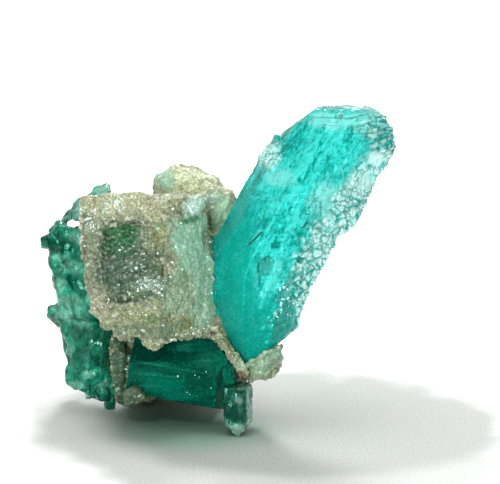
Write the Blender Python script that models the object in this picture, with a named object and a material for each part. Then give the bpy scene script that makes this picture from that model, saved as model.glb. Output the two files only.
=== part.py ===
"""Tourmaline crystals grown through a lump of sugary matrix rock.

Units are metres and +Z is up.  -Y is the display side, where the long turquoise crystal leans to +X.
The specimen stands on three small flats at Z = 0: the foot of the rock at the back, the lowest crystal of
the left cluster, and the tip of the pale crystal in front.  Its origin is at the middle of its footprint.

The shapes are first laid out in a layout frame of their own, in millimetres turned to metres by mm(), and
one empty carries them all to the final origin.
"""
import math
import random

import bmesh
import bpy
from mathutils import Matrix, Vector, noise

MM = 0.001


def mm(x, y, z):
    """A point or a size given in millimetres, in the script's metres."""
    return Vector((x, y, z)) * MM


PART_COLLECTION = "paraiba_tourmaline"
CUTTER_COLLECTION = "cutters"

# ---- fits and finish -------------------------------------------------------------------------------
SEAM_GAP = 0.12 * MM        # clear seam between the rock and every crystal grown in it
CRYSTAL_GAP = 0.15 * MM     # clear seam between two neighbouring crystals
RIND_ROOM = 0.50 * MM       # room between the turquoise crystal and the prism, which a rind of rock fills
FLOOR_BLOCK = mm(40.0, 40.0, 10.0)
MERGE = 0.0005 * MM
LONGEST_MITRE = 2.0         # a grown corner moves out by at most this many gaps

# ---- the long turquoise crystal ---------------------------------------------------------------------
MAIN_FOOT = mm(1.02, -1.80, 2.96)
MAIN_PITCH = math.radians(-15.0)     # tips its top away from the display side
MAIN_LEAN = math.radians(24.6)       # then leans it to +X

# One cross-section: how far across from the left edge (0 to 1), and how far back (-0.5 to 0.5).
MAIN_SECTION = (
    (0.00, 0.06),
    (0.12, -0.24),
    (0.38, -0.50),
    (0.74, -0.42),
    (1.00, 0.00),
    (0.86, 0.34),
    (0.50, 0.50),
    (0.14, 0.36),
)
# Stations along the crystal, in millimetres: height, left edge, right edge, depth.
MAIN_STATIONS = (
    (0.0, -0.05, 1.35, 1.3),
    (0.8, -1.35, 1.80, 2.4),
    (1.3, -1.90, 1.80, 2.9),
    (2.4, -2.73, 1.72, 3.5),
    (3.6, -3.33, 1.55, 3.8),
    (4.5, -3.46, 1.50, 3.9),
    (5.7, -3.28, 1.62, 3.9),
    (7.1, -3.27, 1.74, 3.8),
    (7.8, -3.22, 2.16, 3.8),
    (8.7, -3.08, 2.20, 3.7),
    (10.0, -2.86, 2.14, 3.6),
    (10.9, -2.76, 2.30, 3.5),
    (13.6, -2.60, 2.36, 3.2),
)
# Faces that end it, the slanting foot first: a point and an outward direction, in the crystal's own axes.
MAIN_TERMINATION = (
    (mm(0.05, 0.0, 0.02), Vector((0.84, 0.12, -0.55))),
    (mm(-1.44, 1.3, 12.20), Vector((-0.38, -0.12, 0.92))),
    (mm(0.57, 0.0, 12.97), Vector((0.27, 0.05, 0.96))),
    (mm(1.31, 0.0, 12.76), Vector((0.58, -0.08, 0.81))),
    (mm(1.90, 0.0, 12.34), Vector((0.85, 0.10, 0.53))),
    (mm(-1.44, 0.0, 12.15), Vector((-0.84, 0.05, 0.55))),
    (mm(-2.14, 0.0, 11.08), Vector((-0.90, -0.10, 0.43))),
    (mm(0.30, -1.35, 12.10), Vector((0.10, -0.72, 0.69))),
    (mm(0.20, 1.25, 12.70), Vector((0.05, 0.66, 0.75))),
)
# Small crystals on its left edge, in its axes: name, foot, tip, radius, sides, roll, tip radius as a share.
MAIN_SIDE_CRYSTALS = (
    ("knob", mm(-2.76, -0.15, 8.62), mm(-2.60, -0.05, 10.02), 0.46 * MM, 6, 0.0, 0.70),
    ("bump", mm(-3.10, 0.10, 5.55), mm(-3.12, 0.15, 6.25), 0.24 * MM, 6, 0.0, 0.70),
)

# ---- the other crystals: foot, tip, radius, number of sides, roll, tip radius as a share -------------
LEFT_CLUSTER = (
    ("left_tall", mm(-5.60, 1.30, 2.60), mm(-6.58, 2.00, 11.6), 1.76 * MM, 6, 8.0, 0.92),
    ("left_rib", mm(-6.55, 0.25, 3.40), mm(-7.42, 0.75, 8.10), 0.64 * MM, 6, 15.0, 0.86),
    ("left_lobe", mm(-6.50, 0.90, 4.42), mm(-7.88, 0.78, 4.62), 1.10 * MM, 6, 20.0, 0.26),
    ("left_low", mm(-5.86, 0.35, 4.60), mm(-6.10, 0.45, 0.62), 1.22 * MM, 6, 4.0, 0.92),
    ("left_low_side", mm(-5.45, -0.35, 4.40), mm(-5.60, -0.15, 1.60), 0.66 * MM, 6, 10.0, 0.75),
    ("left_foot", mm(-5.30, 0.35, 3.20), mm(-5.02, 0.60, -0.40), 0.70 * MM, 5, 12.0, 0.34),
    ("left_shoulder", mm(-6.70, 1.35, 7.90), mm(-7.60, 1.25, 8.46), 0.78 * MM, 6, 0.0, 0.66),
    ("left_bead", mm(-7.10, 1.20, 7.76), mm(-8.16, 1.25, 7.78), 0.64 * MM, 6, 10.0, 0.46),
    ("left_back", mm(-5.20, 2.60, 3.20), mm(-5.95, 3.75, 8.40), 1.05 * MM, 6, 25.0, 0.55),
    ("left_back_low", mm(-5.30, 2.20, 4.60), mm(-6.70, 2.90, 1.90), 0.85 * MM, 6, 5.0, 0.60),
)
# Faces that end the larger of them: a point and an outward direction, in the layout frame.
LEFT_FACES = {
    "left_tall": (
        (mm(-6.50, 1.90, 9.15), Vector((-0.66, -0.10, 0.74))),
        (mm(-4.75, 2.40, 10.10), Vector((0.72, 0.10, 0.69))),
        (mm(-5.60, 3.20, 9.60), Vector((-0.10, 0.78, 0.62))),
        (mm(-5.05, 2.00, 10.24), Vector((-0.10, -0.15, 0.98))),
    ),
    "left_rib": (
        (mm(-7.25, 0.40, 7.75), Vector((-0.30, -0.62, 0.72))),
    ),
    "left_low": (
        (mm(-6.85, 0.30, 1.25), Vector((-0.62, -0.10, -0.78))),
    ),
    "left_back": (
        (mm(-5.90, 3.90, 7.80), Vector((-0.30, 0.70, 0.65))),
    ),
}
SLOT_CENTRE = mm(-6.66, 1.20, 8.68)      # narrow opening right through the cluster, front to back
SLOT_SIZE = mm(0.80, 7.0, 0.34)
SLOT_PITCH = math.radians(-15.0)

PRISM = ("lower_prism", mm(-3.82, -0.78, 2.87), mm(1.60, -1.60, 2.06), 1.80 * MM, 6, 14.0, 0.98)
PRISM_END = (mm(0.31, -2.50, 3.00), Vector((0.86, -0.46, -0.20)))

PALE_TIP = ("pale_tip_crystal", mm(0.86, -2.72, 2.25), mm(0.90, -2.92, -0.30), 0.74 * MM, 6, 0.0, 0.86)
PALE_TIP_FACES = (
    (mm(1.44, -2.85, 0.50), Vector((0.76, -0.12, -0.64))),
    (mm(0.36, -2.85, 0.42), Vector((-0.74, -0.12, -0.66))),
    (mm(0.90, -3.52, 0.50), Vector((0.0, -0.90, -0.44))),
    (mm(0.90, -2.25, 0.30), Vector((0.0, 0.90, -0.44))),
)

# ---- the matrix rock --------------------------------------------------------------------------------
ROCK_SEED = 5               # fixes the noise field, which would otherwise start from the clock
ROCK_GRAIN = 0.9 * MM       # size of the bumps
ROCK_ROUGHNESS = 0.16 * MM  # how far they stand out
ROCK_CELL = 0.92 * MM       # longest edge left on a lump
LUMP_CUTS = 9               # broken faces on each lump
LUMP_CUT_DEPTHS = (0.72, 0.94)
BLOCK_ROUGHNESS = 0.08 * MM
BLOCK_CELL = 0.90 * MM

# Corners of the squarish block in front.
BLOCK_CORNERS = (
    mm(-6.04, -3.00, 11.02),
    mm(-3.70, -3.10, 11.22),
    mm(-2.28, -3.30, 10.91),
    mm(-0.58, -1.20, 10.62),
    mm(-6.04, -3.45, 8.70),
    mm(-5.62, -3.95, 6.00),
    mm(-4.80, -4.05, 5.25),
    mm(-2.62, -4.20, 4.52),
    mm(-0.12, -1.80, 4.20),
    mm(-5.70, 0.40, 9.80),
    mm(-0.60, 0.80, 9.70),
    mm(-5.40, 0.30, 5.60),
    mm(-0.20, 0.80, 4.40),
)
# The shallow recess in the block's face: its mouth in front of the face, then its floor.
RECESS_CORNERS = (
    mm(-5.10, -5.60, 10.56),
    mm(-2.60, -5.60, 10.60),
    mm(-2.15, -5.60, 10.20),
    mm(-2.15, -5.60, 7.70),
    mm(-4.20, -5.60, 6.60),
    mm(-5.30, -5.60, 7.10),
    mm(-4.85, -2.76, 9.49),
    mm(-3.00, -2.84, 9.55),
    mm(-2.60, -3.08, 9.20),
    mm(-2.65, -3.52, 7.35),
    mm(-4.25, -3.60, 6.60),
    mm(-5.00, -3.40, 6.90),
)
# Broken lumps that make up the rest of the rock: name, centre, half-sizes, seed.
ROCK_LUMPS = (
    ("core", mm(-2.30, 1.40, 6.50), mm(3.00, 2.40, 3.20), 3),
    ("back_knob", mm(-1.50, 3.80, 9.52), mm(1.72, 1.35, 1.44), 8),
    ("knob_neck", mm(-1.60, 2.90, 8.00), mm(1.90, 1.70, 1.80), 5),
    ("back_mass", mm(-2.00, 2.60, 4.70), mm(2.90, 2.25, 3.70), 21),
    ("right_lump", mm(-0.15, 1.90, 9.05), mm(1.05, 1.20, 1.45), 14),
    ("right_neck", mm(-0.20, 1.60, 7.60), mm(1.10, 1.10, 1.50), 6),
    ("back_foot", mm(-1.75, 2.95, 1.90), mm(2.70, 1.75, 3.00), 11),
    ("heel", mm(-3.55, 1.40, 1.10), mm(0.85, 1.00, 1.35), 17),
    ("column", mm(-4.44, -1.20, 2.40), mm(0.38, 0.50, 1.75), 2),
    ("column_root", mm(-4.20, 0.40, 2.90), mm(0.80, 1.60, 2.00), 9),
    ("foot_lump", mm(1.94, -1.52, 3.23), mm(1.06, 1.44, 1.12), 7),
    ("foot_lump_inner", mm(1.30, -0.90, 2.70), mm(1.10, 1.20, 0.90), 4),
    ("foot_bridge", mm(0.20, 0.60, 3.90), mm(1.80, 1.30, 1.40), 10),
    ("tab_left", mm(-4.96, -3.55, 5.38), mm(0.36, 0.50, 0.34), 12),
    ("tab_middle", mm(-4.14, -3.25, 4.92), mm(0.55, 0.65, 0.58), 13),
    ("tab_point", mm(-2.75, -3.75, 4.62), mm(0.55, 0.50, 0.45), 15),
)
# A rind of rock along the lower left edge of the turquoise crystal.
RIND_START = mm(-0.24, -1.70, 4.75)
RIND_END = mm(1.02, -1.95, 2.75)
RIND_RADIUS = 0.46 * MM

# ---- materials: colour, roughness, see-through share, refractive index ------------------------------
MATERIALS = {
    "matrix_rock": ((0.46, 0.43, 0.31), 0.85, 0.0, 1.50),
    "paraiba_crystal": ((0.02, 0.62, 0.55), 0.12, 0.85, 1.62),
    "left_crystal_cluster": ((0.02, 0.38, 0.27), 0.15, 0.70, 1.62),
    "lower_prism": ((0.01, 0.20, 0.14), 0.12, 0.60, 1.62),
    "pale_tip_crystal": ((0.30, 0.60, 0.50), 0.10, 0.85, 1.62),
}


# ---- small helpers ----------------------------------------------------------------------------------
def clear_scene():
    for old in list(bpy.data.objects):
        bpy.data.objects.remove(old, do_unlink=True)


def new_collection(name):
    collection = bpy.data.collections.new(name)
    bpy.context.scene.collection.children.link(collection)
    return collection


def principled(name, colour, roughness, transmission, ior):
    material = bpy.data.materials.new(name)
    material.use_nodes = True
    shader = material.node_tree.nodes["Principled BSDF"]
    shader.inputs["Base Color"].default_value = (*colour, 1.0)
    shader.inputs["Roughness"].default_value = roughness
    shader.inputs["Metallic"].default_value = 0.0
    shader.inputs["Transmission Weight"].default_value = transmission
    shader.inputs["IOR"].default_value = ior
    return material


def object_from_bmesh(name, bm):
    bmesh.ops.recalc_face_normals(bm, faces=bm.faces)
    mesh = bpy.data.meshes.new(name)
    bm.to_mesh(mesh)
    bm.free()
    return bpy.data.objects.new(name, mesh)


def slice_off(bm, point, outward):
    """Cut away everything on the outward side of a plane and close the cut."""
    everything = bm.verts[:] + bm.edges[:] + bm.faces[:]
    bmesh.ops.bisect_plane(bm, geom=everything, plane_co=point, plane_no=outward,
                           dist=MERGE, clear_outer=True)
    rim = [edge for edge in bm.edges if edge.is_boundary]
    bmesh.ops.contextual_create(bm, geom=rim)


def along(foot, tip):
    """A frame at the foot whose Z axis points to the tip."""
    turn = (tip - foot).to_track_quat("Z", "Y").to_matrix().to_4x4()
    return Matrix.Translation(foot) @ turn


def crystal_mesh(foot, tip, radius, sides, roll, tip_share):
    """A many-sided crystal from foot to tip, in the layout frame, with its tip narrowed."""
    bm = bmesh.new()
    length = (tip - foot).length
    bmesh.ops.create_cone(bm, cap_ends=True, segments=sides, depth=length,
                          radius1=radius, radius2=radius * tip_share)
    lift = Matrix.Translation((0.0, 0.0, length / 2.0))
    spin = Matrix.Rotation(math.radians(roll), 4, "Z")
    bmesh.ops.transform(bm, matrix=along(foot, tip) @ lift @ spin, verts=bm.verts)
    return bm


def crystal(name, foot, tip, radius, sides, roll, tip_share, faces=()):
    bm = crystal_mesh(foot, tip, radius, sides, roll, tip_share)
    for point, outward in faces:
        slice_off(bm, point, outward)
    return object_from_bmesh(name, bm)


def boolean(target, tool, operation):
    modifier = target.modifiers.new(tool.name, "BOOLEAN")
    modifier.operation = operation
    modifier.object = tool


def as_cutter(tool, cutters, root):
    tool.parent = root
    tool.hide_render = True
    tool.display_type = "WIRE"
    cutters.objects.link(tool)
    return tool


def grown_copy(source, gap):
    """The same crystal, larger by the gap on every side."""
    bm = bmesh.new()
    bm.from_mesh(source.data)
    bm.transform(source.matrix_basis)
    bm.normal_update()
    moves = [vert.normal * min(vert.calc_shell_factor(), LONGEST_MITRE) * gap for vert in bm.verts]
    for vert, move in zip(bm.verts, moves):
        vert.co += move
    return object_from_bmesh(source.name + "_room", bm)


# ---- the turquoise crystal --------------------------------------------------------------------------
def main_frame():
    pitch = Matrix.Rotation(MAIN_PITCH, 4, "X")
    lean = Matrix.Rotation(MAIN_LEAN, 4, "Y")
    return Matrix.Translation(MAIN_FOOT) @ pitch @ lean


def main_ring(bm, height, left, right, depth):
    width = right - left
    return [bm.verts.new(mm(left + across * width, back * depth, height))
            for across, back in MAIN_SECTION]


def loft(bm, rings):
    """Join rings of equal count with faces and close both ends."""
    count = len(rings[0])
    for lower, upper in zip(rings, rings[1:]):
        for index in range(count):
            after = (index + 1) % count
            bm.faces.new((lower[index], lower[after], upper[after], upper[index]))
    bm.faces.new(rings[0])
    bm.faces.new(rings[-1])


def paraiba_crystal(cutters, root):
    bm = bmesh.new()
    loft(bm, [main_ring(bm, *station) for station in MAIN_STATIONS])
    for point, outward in MAIN_TERMINATION:
        slice_off(bm, point, outward)
    stem = object_from_bmesh("paraiba_crystal", bm)
    stem.matrix_basis = main_frame()
    for row in MAIN_SIDE_CRYSTALS:
        side = crystal(*row)
        side.matrix_basis = main_frame()
        boolean(stem, as_cutter(side, cutters, root), "UNION")
    return stem


# ---- the green crystals -----------------------------------------------------------------------------
def left_crystals():
    return [crystal(*row, faces=LEFT_FACES.get(row[0], ())) for row in LEFT_CLUSTER]


def slot_cutter():
    bm = bmesh.new()
    bmesh.ops.create_cube(bm, size=1.0)
    bmesh.ops.scale(bm, vec=SLOT_SIZE, verts=bm.verts)
    slot = object_from_bmesh("slot", bm)
    slot.location = SLOT_CENTRE
    slot.rotation_euler.x = SLOT_PITCH
    return slot


def joined_cluster(pieces, cutters, root):
    cluster = bpy.data.objects.new("left_crystal_cluster", pieces[0].data.copy())
    for piece in pieces[1:]:
        boolean(cluster, as_cutter(piece, cutters, root), "UNION")
    boolean(cluster, as_cutter(slot_cutter(), cutters, root), "DIFFERENCE")
    return cluster


# ---- the rock ---------------------------------------------------------------------------------------
def split_long_edges(bm, longest):
    """Halve long edges until none is longer than the limit."""
    bmesh.ops.triangulate(bm, faces=bm.faces)
    long_edges = [edge for edge in bm.edges if edge.calc_length() > longest]
    while long_edges:
        bmesh.ops.subdivide_edges(bm, edges=long_edges, cuts=1, use_single_edge=True)
        bmesh.ops.triangulate(bm, faces=bm.faces)
        long_edges = [edge for edge in bm.edges if edge.calc_length() > longest]


def roughen(bm, cell, amount):
    """Split the faces finely and push every vertex by a noise field that all the rock shares."""
    split_long_edges(bm, cell)
    for vert in bm.verts:
        vert.co += noise.noise_vector(vert.co / ROCK_GRAIN) * amount


def hull(name, corners, cell, roughness):
    """The closed shape spanned by its corners, with a rough surface."""
    bm = bmesh.new()
    for corner in corners:
        bm.verts.new(corner)
    bmesh.ops.convex_hull(bm, input=bm.verts)
    roughen(bm, cell, roughness)
    return object_from_bmesh(name, bm)


def lump(name, centre, half_sizes, seed):
    """An ellipsoid with broken faces at random slants and a rough surface."""
    dice = random.Random(seed)
    bm = bmesh.new()
    bmesh.ops.create_icosphere(bm, subdivisions=2, radius=1.0)
    bmesh.ops.scale(bm, vec=half_sizes, verts=bm.verts)
    for _ in range(LUMP_CUTS):
        outward = Vector([dice.gauss(0.0, 1.0) for _ in range(3)]).normalized()
        reach = Vector([outward[axis] * half_sizes[axis] for axis in range(3)]).length
        slice_off(bm, outward * reach * dice.uniform(*LUMP_CUT_DEPTHS), outward)
    bmesh.ops.translate(bm, vec=centre, verts=bm.verts)
    roughen(bm, ROCK_CELL, ROCK_ROUGHNESS)
    return object_from_bmesh(name, bm)


def rind():
    """A rough strand: the hull of a small cross at each of its two ends."""
    arms = [Vector(row) * RIND_RADIUS * sign for row in Matrix.Identity(3) for sign in (-1.0, 1.0)]
    corners = [end + arm for end in (RIND_START, RIND_END) for arm in arms]
    return hull("rind", corners, ROCK_CELL, ROCK_ROUGHNESS / 2.0)


def matrix_rock(rooms, cutters, root):
    rock = hull("matrix_rock", BLOCK_CORNERS, BLOCK_CELL, BLOCK_ROUGHNESS)
    recess = hull("recess", RECESS_CORNERS, BLOCK_CELL, BLOCK_ROUGHNESS)
    boolean(rock, as_cutter(recess, cutters, root), "DIFFERENCE")
    for piece in [lump(*row) for row in ROCK_LUMPS] + [rind()]:
        boolean(rock, as_cutter(piece, cutters, root), "UNION")
    for room in rooms:
        boolean(rock, room, "DIFFERENCE")
    return rock


def floor_cutter():
    """A slab whose top is the floor the specimen stands on."""
    bm = bmesh.new()
    bmesh.ops.create_cube(bm, size=1.0)
    bmesh.ops.scale(bm, vec=FLOOR_BLOCK, verts=bm.verts)
    slab = object_from_bmesh("floor", bm)
    slab.location.z = -FLOOR_BLOCK.z / 2.0
    return slab


# ---- putting it together ----------------------------------------------------------------------------
def evaluated_mesh(source):
    """The object's mesh with its modifiers applied, in its own frame."""
    depsgraph = bpy.context.evaluated_depsgraph_get()
    return bpy.data.meshes.new_from_object(source.evaluated_get(depsgraph), depsgraph=depsgraph)


def keep_largest_body(target):
    """Apply the modifiers and drop the crumbs that the cuts left loose."""
    bm = bmesh.new()
    bm.from_mesh(evaluated_mesh(target))
    bodies = []
    unseen = set(bm.verts)
    while unseen:
        body = {unseen.pop()}
        frontier = list(body)
        while frontier:
            vert = frontier.pop()
            for edge in vert.link_edges:
                other = edge.other_vert(vert)
                if other not in body:
                    body.add(other)
                    frontier.append(other)
        unseen -= body
        bodies.append(body)
    bodies.sort(key=len)
    crumbs = [vert for body in bodies[:-1] for vert in body]
    bmesh.ops.delete(bm, geom=crumbs, context="VERTS")
    target.modifiers.clear()
    bm.to_mesh(target.data)
    bm.free()


def stand_on_origin(root, parts):
    """Move the whole specimen so that the middle of its footprint is the origin."""
    corners = []
    for part in parts:
        for vert in evaluated_mesh(part).vertices:
            corners.append(part.matrix_basis @ vert.co)
    middle = [(min(c[axis] for c in corners) + max(c[axis] for c in corners)) / 2.0 for axis in (0, 1)]
    root.location = (-middle[0], -middle[1], 0.0)


def build():
    clear_scene()
    noise.seed_set(ROCK_SEED)
    parts = new_collection(PART_COLLECTION)
    cutters = new_collection(CUTTER_COLLECTION)
    root = bpy.data.objects.new("specimen", None)
    parts.objects.link(root)

    floor = as_cutter(floor_cutter(), cutters, root)
    main = paraiba_crystal(cutters, root)
    green = left_crystals()
    prism = crystal(*PRISM, faces=(PRISM_END,))
    tip = crystal(*PALE_TIP, faces=PALE_TIP_FACES)

    rooms = [as_cutter(grown_copy(source, SEAM_GAP), cutters, root) for source in [main, prism, tip] + green]
    main_room = as_cutter(grown_copy(main, RIND_ROOM), cutters, root)
    tip_room = as_cutter(grown_copy(tip, CRYSTAL_GAP), cutters, root)
    rock = matrix_rock(rooms, cutters, root)
    cluster = joined_cluster(green, cutters, root)
    boolean(prism, main_room, "DIFFERENCE")
    boolean(prism, tip_room, "DIFFERENCE")

    pieces = [rock, main, cluster, prism, tip]
    for piece in pieces:
        piece.parent = root
        parts.objects.link(piece)
        piece.data.materials.append(principled(piece.name, *MATERIALS[piece.name]))
    for piece in (rock, cluster, tip):
        boolean(piece, floor, "DIFFERENCE")
    bpy.context.view_layer.update()
    keep_largest_body(rock)
    stand_on_origin(root, pieces)


build()
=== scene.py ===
"""Looks of the tourmaline specimen: sugary rock, see-through crystals, floor, light and camera.

Each CAD node is replaced by a finer mesh made from it.  Meshes are worked in millimetres, because a
voxel remesh can't be finer than 0.1 mm in metres, and piece() brings them back to metres.
"""
import math

import bmesh
import bpy
import numpy as np
from mathutils import Matrix, Vector, noise
from mathutils.bvhtree import BVHTree


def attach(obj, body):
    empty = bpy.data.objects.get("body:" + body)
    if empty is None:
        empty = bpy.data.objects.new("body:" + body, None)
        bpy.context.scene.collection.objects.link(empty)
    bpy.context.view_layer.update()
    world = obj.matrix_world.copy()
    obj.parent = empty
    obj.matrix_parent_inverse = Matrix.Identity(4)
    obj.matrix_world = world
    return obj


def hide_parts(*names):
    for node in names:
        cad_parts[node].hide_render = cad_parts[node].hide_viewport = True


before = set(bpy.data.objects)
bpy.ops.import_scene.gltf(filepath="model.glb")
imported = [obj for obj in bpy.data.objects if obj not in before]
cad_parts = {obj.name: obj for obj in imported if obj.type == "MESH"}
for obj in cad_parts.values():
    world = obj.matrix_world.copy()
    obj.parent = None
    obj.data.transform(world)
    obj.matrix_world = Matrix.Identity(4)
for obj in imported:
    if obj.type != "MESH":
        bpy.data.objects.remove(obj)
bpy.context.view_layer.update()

MM = 0.001
BODY = "root"

# ---- the camera, in millimetres; a pixel below is one of the photo's ----
IMAGE_SIZE = (500, 484)
CAMERA_TARGET = Vector((1.525, -0.427, 8.13))
CAMERA_ELEVATION = math.radians(15.0)
CAMERA_DISTANCE = 110.1
FORWARD = Vector((0.0, math.cos(CAMERA_ELEVATION), -math.sin(CAMERA_ELEVATION)))
UPWARD = Vector((0.0, math.sin(CAMERA_ELEVATION), math.cos(CAMERA_ELEVATION)))
CAMERA_PLACE = CAMERA_TARGET - FORWARD * CAMERA_DISTANCE
CAMERA_LENS = 175.0
CAMERA_SENSOR = 36.0
CAMERA_NEAR = 1.0
MILLIMETRES_PER_PIXEL = CAMERA_DISTANCE * CAMERA_SENSOR / CAMERA_LENS / IMAGE_SIZE[0]

# ---- how fine the meshes are, in millimetres --------------
VOXELS = {"matrix_rock": 0.071, "paraiba_crystal": 0.055, "left_crystal_cluster": 0.065,
          "lower_prism": 0.06, "pale_tip_crystal": 0.045}
LUMP_VOXEL = 0.045

# ---- the long crystal's own axes: X across it to the right, Y to the back, Z along it ----
MAIN_FOOT = Vector((1.115, -2.227, 2.96))
MAIN_PITCH = math.radians(-15.0)
MAIN_LEAN = math.radians(24.6)


# ---- numbers ---------------------------------------------
DICE_RATES, DICE_SPREAD = (12.9898, 78.233, 37.719), 43758.5453     # make a place a random number


def rise(low, high, values):
    """0 up to the low value, 1 from the high one, and smooth between."""
    share = np.clip((values - low) / (high - low), 0.0, 1.0)
    return share * share * (3.0 - 2.0 * share)


def fall(low, high, values):
    return 1.0 - rise(low, high, values)


def field(points, size, seed=0):
    """Smooth noise, about -1 to 1, with bumps of that size (a number or one per axis)."""
    scaled = points / np.asarray(size) + seed * 7.31
    return np.array([noise.noise(row) for row in scaled.tolist()])


def drift(points, size, seed):
    """Such noise in three directions."""
    return np.stack([field(points, size, seed + axis) for axis in range(3)], axis=1)


def cells(points, size, seed=0):
    """How far each point is from its cell's border and centre, and a random number for the cell."""
    scaled = points / np.asarray(size) + seed * 5.17
    near = np.empty(len(points))
    gap = np.empty(len(points))
    dice = np.empty(len(points))
    for index, row in enumerate(scaled.tolist()):
        distances, centres = noise.voronoi(row)
        near[index] = distances[0]
        gap[index] = distances[1] - distances[0]
        dice[index] = sum(part * rate for part, rate in zip(centres[0], DICE_RATES))
    return gap, near, np.mod(np.sin(dice) * DICE_SPREAD, 1.0)


def most(*values):
    """The largest of several values at each point."""
    return np.maximum.reduce(values)


def outside(*zones):
    """1 away from all of these zones, 0 within any one."""
    return math.prod(1.0 - zone for zone in zones)


# ---- meshes ----------------------------------------------
RIDGE_ROUNDS = 4


def placed(name, data):
    """A new object in the scene."""
    result = bpy.data.objects.new(name, data)
    bpy.context.scene.collection.objects.link(result)
    return result


def mesh_from(bm, name):
    """The shape under construction as a finished mesh."""
    mesh = bpy.data.meshes.new(name)
    bm.to_mesh(mesh)
    bm.free()
    return mesh


def remeshed(mesh, voxel):
    """The mesh with its surface split into small even faces, and overlapping shells joined."""
    rough = placed("rough", mesh)
    remesh = rough.modifiers.new("even", "REMESH")
    remesh.mode = "VOXEL"
    remesh.voxel_size = voxel
    remesh.adaptivity = 0.0
    depsgraph = bpy.context.evaluated_depsgraph_get()
    result = bpy.data.meshes.new_from_object(rough.evaluated_get(depsgraph), depsgraph=depsgraph)
    bpy.data.objects.remove(rough)
    result.materials.clear()
    return result


def even_mesh(name):
    """A copy of a CAD node in millimetres, with small even faces, and its points and tree."""
    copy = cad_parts[name].data.copy()
    copy.transform(Matrix.Scale(1.0 / MM, 4))
    mesh = remeshed(copy, VOXELS[name])
    return mesh, points_of(mesh), tree_of(mesh)


def read(elements, key, width, kind=np.float32):
    """One property of a mesh's elements, a row of numbers for each."""
    flat = np.empty(len(elements) * width, kind)
    elements.foreach_get(key, flat)
    return flat.reshape(-1, width).astype(float if kind is np.float32 else int)


def points_of(mesh):
    return read(mesh.vertices, "co", 3)


def normals_of(mesh):
    return read(mesh.vertex_normals, "vector", 3)


def set_points(mesh, points):
    mesh.vertices.foreach_set("co", points.astype(np.float32).ravel())
    mesh.update()


def push(mesh, amounts):
    """Move every point along its normal by its amount."""
    set_points(mesh, points_of(mesh) + normals_of(mesh) * amounts[:, None])


def paint(mesh, name, values):
    """Keep one number per point, for the material to read."""
    attribute = mesh.attributes.new(name, "FLOAT", "POINT")
    attribute.data.foreach_set("value", np.clip(values, 0.0, 1.0).astype(np.float32))


def paint_all(mesh, zones):
    for name, values in zones.items():
        paint(mesh, name, values)


def neighbour_mean(mesh, values):
    """The mean of the neighbours' values at each point."""
    ends = read(mesh.edges, "vertices", 2, np.int32)
    total = np.zeros_like(values)
    np.add.at(total, ends[:, 0], values[ends[:, 1]])
    np.add.at(total, ends[:, 1], values[ends[:, 0]])
    count = np.bincount(ends.ravel(), minlength=len(values)).astype(float)
    return total / np.maximum(count, 1.0).reshape((-1,) + (1,) * (values.ndim - 1))


def soften(mesh, weights, rounds):
    """Ease a mesh's edges, by weight."""
    points = points_of(mesh)
    for _ in range(rounds):
        points += (neighbour_mean(mesh, points) - points) * weights[:, None]
    set_points(mesh, points)


def ridges(mesh):
    """How far each point stands out of its surroundings, in millimetres."""
    smooth = points_of(mesh)
    for _ in range(RIDGE_ROUNDS):
        smooth = neighbour_mean(mesh, smooth)
    return np.einsum("ij,ij->i", points_of(mesh) - smooth, normals_of(mesh))


def tree_of(mesh):
    mesh.calc_loop_triangles()
    corners = [tuple(triangle.vertices) for triangle in mesh.loop_triangles]
    return BVHTree.FromPolygons([vertex.co[:] for vertex in mesh.vertices], corners)


def piece(name, mesh, material, node=None, smooth=True):
    """Keep a mesh above the floor, bring it back to metres and make it a piece of the object."""
    points = points_of(mesh)
    points[:, 2] = np.maximum(points[:, 2], 0.0)
    set_points(mesh, points)
    mesh.transform(Matrix.Scale(MM, 4))
    mesh.name = name
    mesh.materials.append(material)
    if smooth:
        mesh.shade_smooth()
    result = placed(name, mesh)
    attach(result, BODY)
    if node:
        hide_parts(node)


# ---- pixels ----------------------------------------------
# The painted rim shade: full at the first cosine below, gone at the second.
EDGE_ON = (0.06, 0.36)      # cosines to the line of sight: full dark outline, and none


def ray_through(u, v):
    """The camera's ray through a pixel, one unit long along the line of sight."""
    reach = CAMERA_LENS / CAMERA_SENSOR * IMAGE_SIZE[0]
    across = (u - IMAGE_SIZE[0] / 2.0) / reach
    up = (IMAGE_SIZE[1] / 2.0 - v) / reach
    return FORWARD + Vector((across, 0.0, 0.0)) + UPWARD * up


def seen_at(trees, u, v):
    """The nearest point of some surfaces that the camera sees at a pixel, and its normal."""
    hits = [tree.ray_cast(CAMERA_PLACE, ray_through(u, v).normalized()) for tree in trees]
    hits = [(point, normal) for point, normal, _, _ in hits if point is not None]
    return min(hits, key=lambda hit: (hit[0] - CAMERA_PLACE).length) if hits else (None, None)


def painted_rim_shade(mesh):
    """1 where a surface turns away from the camera: painted shade along the rim, where clear
    crystal looks dark.
    """
    return fall(*EDGE_ON, np.abs(normals_of(mesh) @ np.array(FORWARD)))


# The waves in the patches' edges: heights in shares of a patch, and sizes in millimetres.
PATCH_DEPTH = 1.5
PATCH_REACH = 2.2           # nothing further out than this can fall inside the wavy edge
PATCH_WAVE, PATCH_WAVE_SHARE, PATCH_LEAST_WAVE = 0.45, 0.7, 0.14
PATCH_RIPPLE, PATCH_RIPPLE_SIZE = 0.22, 0.13


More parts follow.
